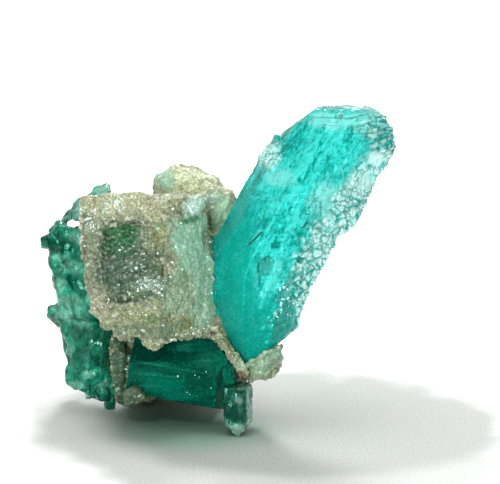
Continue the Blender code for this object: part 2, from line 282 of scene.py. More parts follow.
def patch(points, tree, u, v, across, up, depth=PATCH_DEPTH, edge=0.35, seed=0):
    """1 in a patch centred where the camera sees a pixel, falling to 0 past its wavy edge.

    Its half-width and half-height are in pixels, and its half-depth in millimetres.
    """
    centre, _ = seen_at([tree], u, v)
    if centre is None:
        return np.zeros(len(points))
    sizes = np.array((across * MILLIMETRES_PER_PIXEL, depth, up * MILLIMETRES_PER_PIXEL))
    reach = np.linalg.norm((points - np.array(centre)) / sizes, axis=1)
    near = reach < PATCH_REACH
    wave_size = max(PATCH_LEAST_WAVE, PATCH_WAVE_SHARE * min(sizes))
    reach[near] += PATCH_WAVE * field(points[near], wave_size, seed + 3)
    reach[near] += PATCH_RIPPLE * field(points[near], PATCH_RIPPLE_SIZE, seed + 5)
    return fall(1.0 - edge, 1.0 + edge, reach)


def patches(points, tree, rows, depth=PATCH_DEPTH):
    """Several patches together: pixel, half-sizes in pixels, and strength where it isn't 1."""
    total = np.zeros(len(points))
    for index, row in enumerate(rows):
        u, v, across, up, strength = (*row, 1.0)[:5]
        found = patch(points, tree, u, v, across, up, depth, seed=index)
        total = most(total, strength * found)
    return total


def all_patches(points, tree, table, depth=PATCH_DEPTH):
    """Each kind of patch in a table, by its name."""
    return {name: patches(points, tree, rows, depth) for name, rows in table.items()}


# ---- material nodes --------------------------------------
TOURMALINE_IOR = 1.62
NO_TURN = (0.0, 0.0, 0.0)
WHITE = (1.0, 1.0, 1.0, 1.0)
WARP, WARP_SCALE = 0.5, 1.3             # how far cells are pushed about, and in what size of bends
MIX_INPUTS, MIX_OUTPUT = (0, 6, 7), 2   # the share and the two colours of a colour mix; its result


def linear(red, green, blue):
    """A colour given in the usual 0 to 255 steps, as the linear colour that shaders take."""
    steps = np.array((red, green, blue)) / 255.0
    low = steps / 12.92
    high = ((steps + 0.055) / 1.055) ** 2.4
    return (*np.where(steps <= 0.04045, low, high).tolist(), 1.0)


class Nodes:
    """A node tree under construction, with short calls for its nodes."""

    def __init__(self, tree):
        self.tree = tree

    def node(self, kind, inputs=(), output=0, **settings):
        """The output of a new node with those inputs and settings."""
        made = self.tree.nodes.new("ShaderNode" + kind)
        for key, value in settings.items():
            setattr(made, key, value)
        for key, value in dict(inputs).items():
            self.put(made.inputs[key], value)
        return made.outputs[output]

    def put(self, socket, value):
        if isinstance(value, bpy.types.NodeSocket):
            self.tree.links.new(value, socket)
        else:
            socket.default_value = value

    def vector(self, operation, first, second):
        return self.node("VectorMath", {0: first, 1: second}, operation=operation)

    def ramp(self, value, low, high, start=0.0, end=1.0):
        """The value remapped smoothly from low..high to start..end."""
        inputs = {"Value": value, "From Min": low, "From Max": high, "To Min": start, "To Max": end}
        return self.node("MapRange", inputs, "Result", interpolation_type="SMOOTHSTEP")

    def mix(self, share, first, second):
        inputs = dict(zip(MIX_INPUTS, (share, first, second)))
        return self.node("Mix", inputs, MIX_OUTPUT, data_type="RGBA")


class Material(Nodes):
    """A material under construction."""

    def __init__(self, name):
        self.data = bpy.data.materials.new(name)
        self.data.use_nodes = True
        super().__init__(self.data.node_tree)
        self.surface = self.tree.nodes["Principled BSDF"]
        self.output = self.tree.nodes["Material Output"]
        self.place = self.node("TexCoord", output="Object")

    def set(self, name, value):
        self.put(self.surface.inputs[name], value)

    def crystal(self, colour, rough, clear, glint, ior, absorbed, density):
        """Make it a see-through crystal, which deepens in colour with thickness."""
        for name, value in (("Base Color", colour), ("Roughness", rough), ("IOR", ior),
                            ("Transmission Weight", clear), ("Specular Tint", linear(*glint))):
            self.set(name, value)
        volume = self.node("VolumeAbsorption", {"Color": (*absorbed, 1.0), "Density": density})
        self.put(self.output.inputs["Volume"], volume)
        return self.data

    def scaled(self, size, turn=NO_TURN):
        """Object coordinates in units of that many millimetres (a number or one per axis)."""
        sizes = np.broadcast_to(np.asarray(size, float), (3,))
        scale = tuple(1.0 / (one * MM) for one in sizes)
        turned = self.node("Mapping", {"Vector": self.place, "Rotation": turn})
        return self.vector("MULTIPLY", turned, scale)

    def noise(self, size, detail=2.0, roughness=0.5, turn=NO_TURN):
        inputs = {"Vector": self.scaled(size, turn), "Scale": 1.0, "Detail": detail,
                  "Roughness": roughness}
        return self.node("TexNoise", inputs, "Fac")

    def warped(self, size):
        """Scaled coordinates pushed about, so that cells lose their straight edges."""
        place = self.scaled(size)
        about = self.node("TexNoise", {"Vector": place, "Scale": WARP_SCALE}, "Color")
        centred = self.vector("SUBTRACT", about, (0.5, 0.5, 0.5))
        return self.vector("ADD", place, self.vector("MULTIPLY", centred, (WARP,) * 3))

    def cell(self, size, output="Color", feature="F1"):
        inputs = {"Vector": self.warped(size), "Scale": 1.0}
        return self.node("TexVoronoi", inputs, output, feature=feature)

    def dice(self, cell_colour):
        """Two separate random numbers for each cell."""
        return self.node("SeparateColor", {"Color": cell_colour}, slice(2))

    def times(self, colour, factor):
        return self.node("VectorMath", {0: colour, 3: factor}, operation="SCALE")

    def sum(self, first, second, operation="ADD"):
        return self.node("Math", {0: first, 1: second}, operation=operation)

    def product(self, first, second):
        return self.sum(first, second, "MULTIPLY")

    def painted(self, name):
        return self.node("Attribute", output="Fac", attribute_name=name)

    def faded(self, name, start, end):
        """A value that goes from start to end as the painted number of that name goes to 1."""
        return self.ramp(self.painted(name), 0.0, 1.0, start, end)

    def between(self, value, low, high, first, second):
        """The first colour where the value is low, and the second where it is high."""
        return self.mix(self.ramp(value, low, high), linear(*first), linear(*second))

    def tinted(self, colour, tints):
        """The colour under painted tints, each a name, a strength and a colour."""
        for name, strength, tone in tints:
            share = self.product(self.painted(name), strength)
            colour = self.mix(share, colour, linear(*tone))
        return colour

    def bump(self, height, depth, under=None):
        inputs = {"Height": height, "Distance": depth * MM}
        if under is not None:
            inputs["Normal"] = under
        return self.node("Bump", inputs)


# ---- the long turquoise crystal --------------------------
# Lines up its front, each as heights (Z) and places across (X) in its own axes.
RIDGE_LINE = ((1.0, 4.49, 7.64, 13.0), (0.55, -1.42, -2.95, -3.4))
RIDGE_BLUR = 0.35
BUBBLE_LINE = ((2.4, 3.8, 5.0, 7.1, 9.0, 10.8, 12.0), (1.25, 0.5, 0.0, -0.05, 0.45, 0.95, 1.3))
# Heights and a place across at which one kind of surface gives way to the next.
SMOOTH_END = (7.0, 8.2)
BUBBLY_END = (10.6, 11.2)
TOP_START = (10.9, 11.8)
ETCHED_START = (10.9, 11.4)
ETCHED_SIDE = (0.5, 1.1)
BOTTOM_END = (2.2, 4.2)
# Sizes in millimetres of the cells on it, and of the terraces at its top.
DOME_CELLS = (0.4, 0.48, 0.34)
SMALL_DOME_CELLS = 0.22
ETCH_CELLS = (0.46, 0.46, 0.26)
FLECK_CELLS = (0.2, 0.4, 0.4)
TERRACE_HEIGHT = 0.34
# What is painted on it for its material to read.
MAIN_PAINTS = ("deep", "bright", "pale", "lines", "ruled", "hollow", "hole", "fan", "strip",
               "crust", "frosted", "milky")
# The two tones of its body, and the tints painted on it, each a name, a strength and a colour:
# those under the streaks, those over them, and the crust over the specks.
MAIN_BODY = ((6, 178, 167), (34, 214, 205))
MAIN_TINTS = (
    # bright is painted highlight; pale is pale clear crystal with painted highlights laid in it.
    ("bright", 0.65, (72, 236, 228)), ("deep", 0.94, (0, 156, 139)),
    ("pale", 0.95, (232, 255, 252)), ("strip", 0.8, (150, 240, 224)),
)
# Among the marks, lines is painted shade in creases, at terrace steps and along rims; hole is
# painted shade inside the hollow, and fan is painted light below it.
MAIN_MARKS = (
    ("fan", 0.7, (118, 246, 239)), ("lines", 0.9, (0, 112, 98)), ("hollow", 0.8, (70, 148, 132)),
    ("hole", 0.85, (0, 104, 94)),
)
MAIN_CRUST = (("crust", 0.9, (122, 156, 134)),)
# The tones of the dark and light streaks, and of fine specks painted as glints.
DARK_STREAK, LIGHT_STREAK, MAIN_SPECK = (0, 118, 104), (108, 244, 238), (110, 236, 226)
MAIN_PATCH_DEPTH = 1.1
# Patches on it: pixel, half-width and half-height in pixels, and strength where it isn't 1.
MAIN_PATCHES = {
    # bright: painted highlights in the crystal's middle and upper part.
    "bright": (
        (282, 188, 26, 22, 0.9), (296, 214, 14, 18, 0.6), (282, 236, 14, 14, 0.4),
        (287, 262, 8, 16, 0.5), (270, 252, 11, 14, 0.8), (340, 128, 34, 16, 0.9),
        (256, 262, 7, 26, 0.6), (345, 150, 30, 16, 0.7), (318, 160, 22, 18, 0.7),
        (300, 175, 30, 14, 0.8), (214, 318, 7, 26, 0.4), (266, 184, 13, 16, 0.9),
        (330, 138, 22, 12, 0.9), (250, 190, 8, 18), (236, 212, 7, 18, 0.9), (225, 236, 6, 16, 0.6),
    ),
    "deep": (
        (283, 142, 7, 12, 0.8), (304, 224, 5, 16, 0.7), (301, 256, 6, 18, 0.8),
        (288, 306, 18, 32, 0.9), (330, 172, 16, 10, 0.4), (308, 168, 10, 6, 0.4),
        (262, 216, 6, 16, 0.3), (357, 168, 5, 3),
    ),
    # pale: pale clear crystal, and painted blown-out highlights along the top facet.
    "pale": (
        (379, 158, 18, 9, 0.9), (362, 184, 22, 14, 0.8), (342, 106, 27, 5), (352, 108, 16, 4),
        (268, 153, 13, 17, 0.8), (335, 205, 22, 22, 0.4), (325, 240, 18, 24, 0.4),
        (335, 121, 34, 8, 0.4), (372, 122, 20, 14, 0.4), (280, 178, 16, 8, 0.3),
    ),
    "facet": ((379, 157, 19, 10), (366, 182, 10, 8, 0.8)),
    "hollow": ((265, 267, 6, 7), (269, 262, 5, 5, 0.9)),
    # hole: painted shade inside the hollow.
    "hole": (
        (275, 245, 4.0, 3.2), (279, 243, 2.5, 2, 0.9), (272, 247, 2, 1.6, 0.8),
        (259, 268, 1.6, 8, 0.9), (260, 279, 1.6, 6, 0.9), (264, 259, 5, 1.4, 0.7),
        (268, 274, 4, 1.4, 0.5),
    ),
    # fan: painted light fanning out below the hollow.
    "fan": ((277, 266, 5, 7), (273, 276, 4, 7), (268, 286, 3.5, 6), (263, 294, 3, 4)),
    "flecks": ((292, 300, 18, 24), (280, 312, 10, 16)),
    "strip": ((309, 303, 7, 40), (296, 335, 9, 18)),
    "crust": ((261, 357, 13, 4), (275, 351, 9, 5), (285, 343, 6, 6), (246, 364, 5, 3, 0.8)),
    "flank": ((211, 285, 9, 52),),
    "knob": ((270, 154, 14, 17),),
}


def main_places(points):
    """The points in the long crystal's own axes."""
    turn = Matrix.Rotation(MAIN_PITCH, 4, "X") @ Matrix.Rotation(MAIN_LEAN, 4, "Y")
    back = np.array((Matrix.Translation(MAIN_FOOT) @ turn).inverted())
    return points @ back[:3, :3].T + back[:3, 3]


def main_zones(own):
    """How much each point belongs to each kind of surface."""
    wobble = 0.3 * field(own, 0.8, 2)
    across, height = own[:, 0], own[:, 2]
    ridge = np.interp(height, *RIDGE_LINE)
    bubble = np.interp(height, *BUBBLE_LINE)
    smooth = fall(ridge - RIDGE_BLUR, ridge + RIDGE_BLUR, across + 0.5 * wobble)
    bubbly = rise(bubble - 0.1, bubble + 0.6, across + 1.3 * wobble)
    etched = rise(*ETCHED_START, height + wobble)
    return {
        "smooth": smooth * fall(*SMOOTH_END, height + wobble),
        "bubbly": bubbly * fall(*BUBBLY_END, height + wobble),
        "top": rise(*TOP_START, height),
        "etched": etched * rise(*ETCHED_SIDE, across + wobble),
        "bottom": fall(*BOTTOM_END, height + wobble),
    }


def main_crystal_mesh():
    """Bubbles, terraces, etching, hollows and flecks, pushed into its surface."""
    mesh, points, tree = even_mesh("paraiba_crystal")
    own = main_places(points)
    zone = main_zones(own)
    zone.update(all_patches(points, tree, MAIN_PATCHES, MAIN_PATCH_DEPTH))
    middle = outside(zone["smooth"], zone["bubbly"], zone["strip"])
    zone["bubbly"] *= outside(zone["facet"], zone["strip"])

    swell = 0.05 * field(points, 1.3, 1) + 0.2 * zone["flank"]
    lines = field(points, (1.6, 1.6, 0.13), 4) + 0.6 * field(points, (0.8, 0.8, 0.24), 5)
    striation = 0.03 * lines * (0.1 + middle + 0.7 * zone["top"])
    bend = 0.16 * drift(points, 0.35, 24)
    gap, _, dice = cells(points + bend, DOME_CELLS, 1)
    gap_small, _, dice_small = cells(points + 0.6 * bend, SMALL_DOME_CELLS, 2)
    domes = 0.09 * (rise(0.0, 0.3, gap) - 0.8) + 0.1 * (dice - 0.6)
    domes += 0.05 * (rise(0.0, 0.4, gap_small) - 0.6) + 0.04 * (dice_small - 0.5)
    steps = np.mod(points[:, 2] / TERRACE_HEIGHT + 0.6 * field(points, 1.5, 9), 1.0)
    terraces = 0.07 * zone["top"] * (rise(0.0, 0.25, steps) - 0.6)
    gap_etch, _, dice_etch = cells(points, ETCH_CELLS, 6)
    etching = rise(0.0, 0.35, gap_etch) - 0.8 + 0.8 * (dice_etch - 0.5)
    wrinkle = field(points, (0.3, 0.3, 0.22), 8) + field(own, (0.2, 0.2, 0.9), 13)
    _, near_fleck, dice_fleck = cells(own + 0.12 * drift(own, 0.3, 21), FLECK_CELLS, 12)
    fleck = zone["flecks"] * (dice_fleck > 0.64) * fall(0.26, 0.42, near_fleck)
    crumbs = 1.0 + 2.0 * field(points, 0.14, 17)
    knobs = 0.08 * field(points, 0.3, 14) + 0.05 * field(points, 0.15, 15)

    amounts = swell + striation + domes * zone["bubbly"] + terraces
    amounts += 0.07 * etching * zone["etched"] + 0.04 * wrinkle * middle + 0.06 * fleck
    amounts += 0.05 * zone["fan"] - 0.07 * zone["hollow"] - 0.05 * zone["hole"]
    amounts += 0.05 * crumbs * zone["crust"] + knobs * zone["knob"]
    push(mesh, amounts)

    # Painted shade in the creases between bubbles, between etch cells and on the knob.
    wall = most(0.8 * fall(0.02, 0.12, gap),
                0.7 * fall(0.02, 0.14, gap_small)) * zone["bubbly"]
    crack = most(fall(0.03, 0.16, gap_etch) * zone["etched"],
                 fall(0.02, 0.1, gap_small) * zone["knob"])
    # Painted highlights on the tops of bubbles and on some etch cells, laid in with the pale tint.
    white = rise(0.15, 0.75, 0.5 * (dice + dice_small) + 0.25 * (own[:, 0] - 0.6))
    white = most(white * rise(0.02, 0.18, gap) * zone["bubbly"],
                 zone["etched"] * (dice_etch > 0.42))
    # Painted shade at the foot of each terrace step, and the painted rim shade.
    dark_line = fall(0.06, 0.2, steps) * zone["top"] * (field(points, 0.9, 16) > -0.1)
    rim = painted_rim_shade(mesh) * outside(zone["bubbly"])
    frosted = most(zone["smooth"], zone["bottom"])
    kept_deep = (1.0 - 0.8 * zone["bubbly"]) * (1.0 - 0.4 * zone["bright"]) * outside(zone["knob"])
    zone.update({
        "deep": most(frosted, zone["deep"]) * kept_deep,
        # bright: the painted highlights, joined by the painted light below the hollow.
        "bright": most(zone["bright"] * (1.0 - 0.6 * zone["smooth"]), zone["fan"]),
        "milky": most(zone["bubbly"], zone["strip"], zone["pale"], zone["crust"]),
        "pale": most(zone["pale"], white, 0.7 * fleck),
        "lines": most(wall, crack, 0.8 * dark_line, 0.35 * rim * outside(zone["strip"])),
        "ruled": zone["top"],
        "frosted": most(frosted, zone["strip"], rim * outside(zone["top"])),
    })
    paint_all(mesh, {name: zone[name] for name in MAIN_PAINTS})
    return mesh


def main_crystal_material():
    mat = Material("paraiba_crystal_glass")
    cloud = mat.noise(0.9, detail=4.0, roughness=0.6)
    body = mat.tinted(mat.between(cloud, 0.35, 0.65, *MAIN_BODY), MAIN_TINTS)
    along = (0.0, -MAIN_LEAN, 0.0)
    level = mat.noise((1.3, 1.3, 0.085), detail=3.0, roughness=0.6)
    level = mat.product(mat.ramp(level, 0.42, 0.58, 0.55, 1.08), mat.faded("ruled", 0.35, 0.7))
    level = mat.sum(level, mat.faded("ruled", 0.62, 0.33))
    grain = mat.noise((0.12, 0.12, 0.3), detail=4.0, roughness=0.75, turn=along)
    smear = mat.noise((0.45, 0.45, 1.1), detail=3.0, roughness=0.6, turn=along)
    grain = mat.sum(mat.product(grain, 0.6), mat.product(smear, 0.4))
    streaked = mat.times(body, level)
    streaked = mat.mix(mat.ramp(grain, 0.41, 0.48, 0.95, 0.0), streaked, linear(*DARK_STREAK))
    streaked = mat.mix(mat.ramp(grain, 0.5, 0.56, 0.0, 0.75), streaked, linear(*LIGHT_STREAK))
    streaks = mat.product(mat.faded("frosted", 0.9, 0.12), mat.faded("milky", 1.0, 0.45))
    body = mat.tinted(mat.mix(streaks, body, streaked), MAIN_MARKS)
    # Painted glints: fine light specks over the crystal.
    speck = mat.ramp(mat.noise(0.055, detail=0.0), 0.7, 0.76, 0.0, 0.4)
    body = mat.mix(speck, body, linear(*MAIN_SPECK))
    frost = mat.ramp(mat.noise(0.12), 0.4, 0.7, 0.12, 0.26)
    frost = mat.product(frost, mat.faded("frosted", 0.5, 1.8))
    clear = mat.product(mat.faded("frosted", 0.5, 0.4), mat.faded("milky", 1.0, 0.3))
    mat.set("Specular IOR Level", 0.45)
    ruling = mat.bump(mat.noise((1.2, 1.2, 0.07)), 0.012)
    mat.set("Normal", mat.bump(mat.noise(0.07, detail=1.0), 0.008, under=ruling))
    return mat.crystal(mat.tinted(body, MAIN_CRUST), frost, clear, (60, 225, 215), TOURMALINE_IOR,
                       (0.025, 0.955, 0.93), 420.0)


# ---- the green crystals on the left ----------------------
CLUSTER_CELLS = (0.8, 0.8, 1.0)
CLUSTER_DENT = (88, 398, 13, 9)     # a dent at its foot: pixel and half-sizes in pixels
CLUSTER_BODY = ((2, 100, 74), (52, 170, 140))
# The dark tint is partly painted shade, under the rock's lower edge and deep among the crystals,
# and takes the painted rim shade; the mint tint is partly painted highlights on facets.
CLUSTER_TINTS = (("dark", 1.0, (0, 82, 60)), ("mint", 0.9, (150, 216, 194)))
CLUSTER_PATCHES = {
    "dark": (
        (57, 243, 15, 9), (94, 336, 26, 12), (106, 358, 12, 14, 0.9), (104, 402, 12, 16, 0.8),
        (78, 357, 16, 14, 0.7), (76, 281, 10, 9, 0.6), (66, 247, 9, 6, 0.9), (118, 350, 8, 30, 0.6),
        (48, 243, 8, 10, 0.8),
    ),
    "mint": (
        (61, 257, 7, 4, 0.7), (73, 267, 12, 7, 0.6), (102, 187, 16, 9), (82, 206, 14, 10, 0.8),
        (66, 308, 22, 13, 0.6), (71, 304, 7, 5, 0.9), (66, 314, 5, 4, 0.8), (88, 375, 7, 4),
        (105, 385, 8, 6, 0.6), (60, 284, 6, 6, 0.8), (76, 237, 8, 6, 0.6), (83, 324, 8, 5, 0.6),
        (76, 386, 9, 5, 0.6), (70, 350, 5, 6, 0.5),
    ),
}


def cluster_mesh():
    mesh, points, tree = even_mesh("left_crystal_cluster")
    gap, _, dice = cells(points, CLUSTER_CELLS, 3)
    amounts = 0.1 * (rise(0.0, 0.5, gap) - 0.6) + 0.07 * (dice - 0.5)
    amounts += 0.07 * field(points, 0.55, 6) + 0.025 * field(points, (0.14, 0.14, 0.9), 7)
    amounts += 0.02 * field(points, 0.2, 8) - 0.3 * patch(points, tree, *CLUSTER_DENT)
    zone = all_patches(points, tree, CLUSTER_PATCHES)
    push(mesh, amounts * rise(0.05, 0.5, points[:, 2]))
    # The painted rim shade, laid into the dark tint.
    zone["dark"] = most(zone["dark"], 0.5 * painted_rim_shade(mesh))
    paint_all(mesh, zone)
    return mesh


def cluster_material():
    mat = Material("left_cluster_glass")
    cloud = mat.noise(0.7, detail=4.0, roughness=0.6)
    body = mat.tinted(mat.between(cloud, 0.36, 0.64, *CLUSTER_BODY), CLUSTER_TINTS)
    mottle = mat.ramp(mat.noise(0.16, detail=3.0, roughness=0.7), 0.36, 0.66, 0.72, 1.25)
    rough = mat.ramp(mat.noise(0.3), 0.35, 0.7, 0.15, 0.4)
    clear = mat.ramp(mat.noise(0.5), 0.4, 0.6, 0.45, 0.7)
    mat.set("Normal", mat.bump(mat.noise(0.12, detail=3.0), 0.02))
    return mat.crystal(mat.times(body, mottle), rough, clear, (120, 205, 180), TOURMALINE_IOR,
                       (0.05, 0.92, 0.86), 700.0)


# ---- the dark prism --------------------------------------
PRISM_BODY = ((0, 74, 58), (4, 98, 77))
# The tone of small specks painted as sparkle.
PRISM_SPECK = (90, 190, 165)
# The dark tint is painted shade, mostly along the top under the rock; the light tint is painted
# light on the lower facet.
PRISM_TINTS = (
    ("dark", 0.8, (0, 52, 42)), ("light", 1.0, (0, 118, 95)), ("streak", 0.6, (30, 146, 120)),
    ("end", 0.8, (6, 108, 84)),
)
PRISM_PATCHES = {
    # light: painted light on the lower facet.
    "light": ((162, 385, 20, 9), (178, 396, 14, 5, 0.8), (152, 377, 10, 4, 0.7)),
    "streak": (
        (156, 364, 16, 2.2, 0.7), (184, 348, 9, 3, 0.9), (205, 363, 12, 3, 0.35),
        (150, 374, 16, 1.6, 0.8), (172, 377, 10, 1.4, 0.9), (150, 386, 18, 1.6, 0.6),
    ),
    # dark: painted shade, mostly along the top under the rock.
    "dark": ((145, 354, 22, 10, 0.9), (200, 380, 14, 14, 0.5), (138, 388, 9, 6, 0.6)),
    "end": ((227, 366, 10, 26), (222, 388, 8, 24), (219, 402, 6, 10)),
}


def prism_mesh():
    mesh, points, tree = even_mesh("lower_prism")
    zone = all_patches(points, tree, PRISM_PATCHES)
    amounts = 0.014 * field(points, (1.8, 0.16, 0.16), 2) + 0.03 * field(points, 0.9, 3)
    push(mesh, amounts + 0.015 * zone["end"] * field(points, 0.3, 4) - 0.03 * zone["dark"])
    paint_all(mesh, zone)
    return mesh


def prism_material(name="lower_prism_glass"):
    mat = Material(name)
    cloud = mat.noise((1.2, 0.5, 0.5), detail=3.0)
    body = mat.tinted(mat.between(cloud, 0.35, 0.65, *PRISM_BODY), PRISM_TINTS)
    mottle = mat.ramp(mat.noise(0.1, detail=3.0, roughness=0.7), 0.36, 0.66, 0.8, 1.18)
    # Painted sparkle: small light specks.
    speck = mat.ramp(mat.noise(0.05, detail=0.0), 0.74, 0.79, 0.0, 0.5)
    body = mat.mix(speck, mat.times(body, mottle), linear(*PRISM_SPECK))
    frost = mat.sum(mat.ramp(mat.noise(0.4), 0.3, 0.7, 0.12, 0.28), mat.faded("end", 0.0, 0.5))
    mat.set("Specular IOR Level", 0.3)
    mat.set("Normal", mat.bump(mat.noise((1.0, 0.06, 0.06)), 0.005))
    return mat.crystal(body, frost, mat.faded("end", 0.35, 0.1), (40, 130, 110), TOURMALINE_IOR,
                       (0.03, 0.8, 0.72), 900.0)


# ---- the pale crystal ------------------------------------
TIP_CELLS = (0.42, 0.42, 0.6)
TIP_IOR = 1.5
TIP_BODY = ((6, 100, 78), (66, 158, 134))
# The dark tint is the dark green heart, and painted dark outlines and rim shade along the edges.
TIP_TINTS = (("pale", 0.85, (198, 234, 220)), ("dark", 0.9, (0, 84, 64)))
TIP_PATCH_DEPTH = 0.7
TIP_PATCHES = {
    # dark: the dark green heart, and thin painted dark outlines along the edges.
    "dark": (
        (232, 412, 7, 9), (238, 417, 5, 5), (240, 392, 8, 1.6), (245, 411, 1.6, 16),
        (236, 386, 9, 1.3, 0.8), (251, 396, 1.2, 9, 0.6), (228, 399, 2, 8, 0.8),
    ),
    "pale": (
        (250, 406, 3.5, 22), (238, 428, 10, 4, 0.9), (244, 388, 8, 2, 0.6), (239, 401, 4, 5, 0.6),
        (226, 424, 3, 5, 0.6), (239, 433, 9, 5, 0.9),
    ),
}


def tip_mesh():
    mesh, points, tree = even_mesh("pale_tip_crystal")
    zone = all_patches(points, tree, TIP_PATCHES, TIP_PATCH_DEPTH)
    gap, _, dice = cells(points, TIP_CELLS, 3)
    amounts = 0.05 * (rise(0.0, 0.3, gap) - 0.7) + 0.07 * (dice - 0.5)
    amounts += 0.03 * field(points, 0.35, 2)
    push(mesh, amounts * rise(0.02, 0.2, points[:, 2]))
    # The painted rim shade, laid into the dark tint.
    zone["dark"] = most(zone["dark"], 0.8 * painted_rim_shade(mesh))
    paint_all(mesh, zone)
    return mesh


def tip_material():
    mat = Material("pale_tip_glass")
    cloud = mat.noise(0.25, detail=3.0, roughness=0.6)
    body = mat.tinted(mat.between(cloud, 0.4, 0.6, *TIP_BODY), TIP_TINTS)
    rough = mat.ramp(mat.noise(0.2), 0.3, 0.7, 0.03, 0.12)
    mat.set("Normal", mat.bump(mat.noise(0.15), 0.012))
    return mat.crystal(body, rough, mat.ramp(cloud, 0.3, 0.7, 0.5, 0.7), (150, 225, 205), TIP_IOR,
                       (0.2, 0.9, 0.82), 500.0)


# The dark green heart sealed in the pale crystal.
TIP_CORE_CENTRE = (0.9, -3.22, 1.42)
TIP_CORE_SIZES = (0.47, 0.46, 0.8)
TIP_CORE_TONES = ((0, 74, 54), (20, 122, 96))


def tip_core_mesh():
    bm = bmesh.new()
    bmesh.ops.create_icosphere(bm, subdivisions=4, radius=1.0)
    bmesh.ops.scale(bm, vec=TIP_CORE_SIZES, verts=bm.verts)
    bmesh.ops.translate(bm, vec=TIP_CORE_CENTRE, verts=bm.verts)
    mesh = mesh_from(bm, "core")
    points = points_of(mesh)
    push(mesh, 0.09 * field(points, 0.32, 4) + 0.05 * field(points, (0.3, 0.3, 0.12), 5))
    return mesh


def tip_core_material():
    mat = Material("pale_tip_core")
    cloud = mat.noise(0.3, detail=3.0)
    mat.set("Base Color", mat.between(cloud, 0.35, 0.65, *TIP_CORE_TONES))
    mat.set("Roughness", mat.ramp(mat.noise(0.15), 0.3, 0.7, 0.2, 0.5))
    return mat.data


# ---- the rock --------------------------------------------
# Stains on it, with painted shade and painted light: pixel, half-width and half-height in pixels,
# and strength where it isn't 1.
STAINS_AND_PAINTED_LIGHT = {
    "cream": ((112, 204, 40, 14), (158, 204, 20, 12, 0.8), (150, 196, 14, 12, 0.8)),
    # straw: a straw tone, made lighter as painted light on the knob's top.
    "straw": ((183, 181, 42, 20), (218, 204, 14, 18, 0.6)),
    "moss": ((120, 370, 9, 46), (128, 396, 14, 12, 0.9)),
    # shade: painted shade along the block's lower edge and down its left side.
    "shade": ((132, 331, 30, 8, 0.9), (168, 331, 26, 6, 0.6), (90, 276, 6, 20, 0.5)),
    # olive: an olive tone, partly painted shade down the right wall of the recess.
    "olive": (
        (183, 325, 18, 9), (146, 320, 13, 9, 0.9), (120, 316, 30, 9, 0.6), (160, 255, 8, 36, 0.9),
        (137, 395, 14, 12), (120, 360, 10, 40, 0.6), (215, 215, 10, 20, 0.4),
        (122, 296, 12, 5, 0.9), (92, 205, 12, 9, 0.4), (104, 318, 16, 8, 0.4),
    ),
    "pink": (
        (82, 260, 5, 50, 0.9), (92, 290, 12, 14, 0.9), (100, 312, 16, 10, 0.7),
        (172, 268, 9, 36, 0.4), (152, 208, 9, 9, 0.5), (118, 336, 16, 8, 0.6),
        (208, 325, 8, 20, 0.6), (228, 352, 14, 14, 0.9),
    ),
    "grey": ((128, 262, 32, 40), (150, 283, 20, 14, 0.8), (100, 250, 18, 40, 0.4)),
    "mint": (
        (190, 228, 22, 14, 0.9), (192, 248, 18, 20, 0.9), (165, 180, 12, 10, 0.8),
        (203, 285, 14, 44, 0.7), (170, 330, 14, 6, 0.4), (280, 348, 12, 8, 0.9),
        (197, 205, 12, 8, 0.8), (262, 362, 24, 18, 0.5), (222, 212, 13, 18, 0.7),
        (182, 290, 18, 26, 0.4),
    ),
    "green": (
        (124, 232, 16, 13), (119, 246, 14, 9, 0.8), (191, 220, 9, 3, 0.8), (150, 320, 9, 6, 0.5),
    ),
    # pale: a pale tone, partly painted glints on glassy streaks in the recess.
    "pale": ((193, 206, 8, 8, 0.9), (206, 199, 8, 5, 0.8), (150, 284, 14, 4, 0.4)),
    "brown": ((244, 373, 4, 8),),
    # dark: painted shade in cracks and notches and under the recess's top edge.
    "dark": (
        (112, 240, 1.6, 1.6), (163, 272, 1.4, 6, 0.9), (126, 300, 12, 2.4, 0.8),
        (114, 298, 6, 3, 0.6), (213, 333, 1.6, 2.2), (130, 223, 22, 2.2, 0.6),
        (84, 240, 2, 24, 0.4), (205, 238, 2.0, 9, 0.5),
    ),
}
ROCK_BODY = ((128, 138, 104), (156, 164, 130))
# How strongly each stain, painted shade or painted light covers the rock, and its colour.
ROCK_TINTS = (
    ("cream", 0.9, (173, 175, 140)), ("straw", 0.9, (226, 232, 192)),
    ("olive", 0.85, (130, 136, 84)), ("pink", 0.8, (148, 146, 124)), ("grey", 0.92, (56, 90, 70)),
    ("mint", 0.85, (146, 200, 174)), ("green", 1.0, (18, 98, 52)), ("shade", 0.85, (90, 108, 78)),
    ("moss", 0.95, (44, 82, 58)), ("pale", 0.8, (200, 228, 216)), ("brown", 0.9, (130, 92, 66)),
    ("dark", 0.9, (44, 52, 36)),
)
# Painted highlights on the ridges that stand out of the rock.
ROCK_RIM = (("rim", 0.4, (236, 234, 214)),)
# Painted glints: the near-white tone of a few glassy grains.
GLASSY_GRAIN_GLINT = (236, 240, 226)
# Sizes in millimetres of the cells on its surface, and of the grains in its colour.
SUGAR_CELLS = 0.24
LARGE_CELLS = 0.8
GRAIN_CELLS = 0.15
# Where the rock glitters most.
GLITTER = (
    (150, 284, 18, 7, 0.8), (102, 305, 14, 6, 0.5), (129, 295, 6, 3, 0.6), (90, 225, 8, 9),
    (112, 202, 12, 8, 0.8), (110, 206, 34, 12, 0.4), (138, 272, 12, 6, 0.35), (194, 205, 10, 8),
    (140, 312, 12, 4, 0.6), (190, 333, 26, 5, 0.5), (209, 290, 4, 30, 0.4),
)
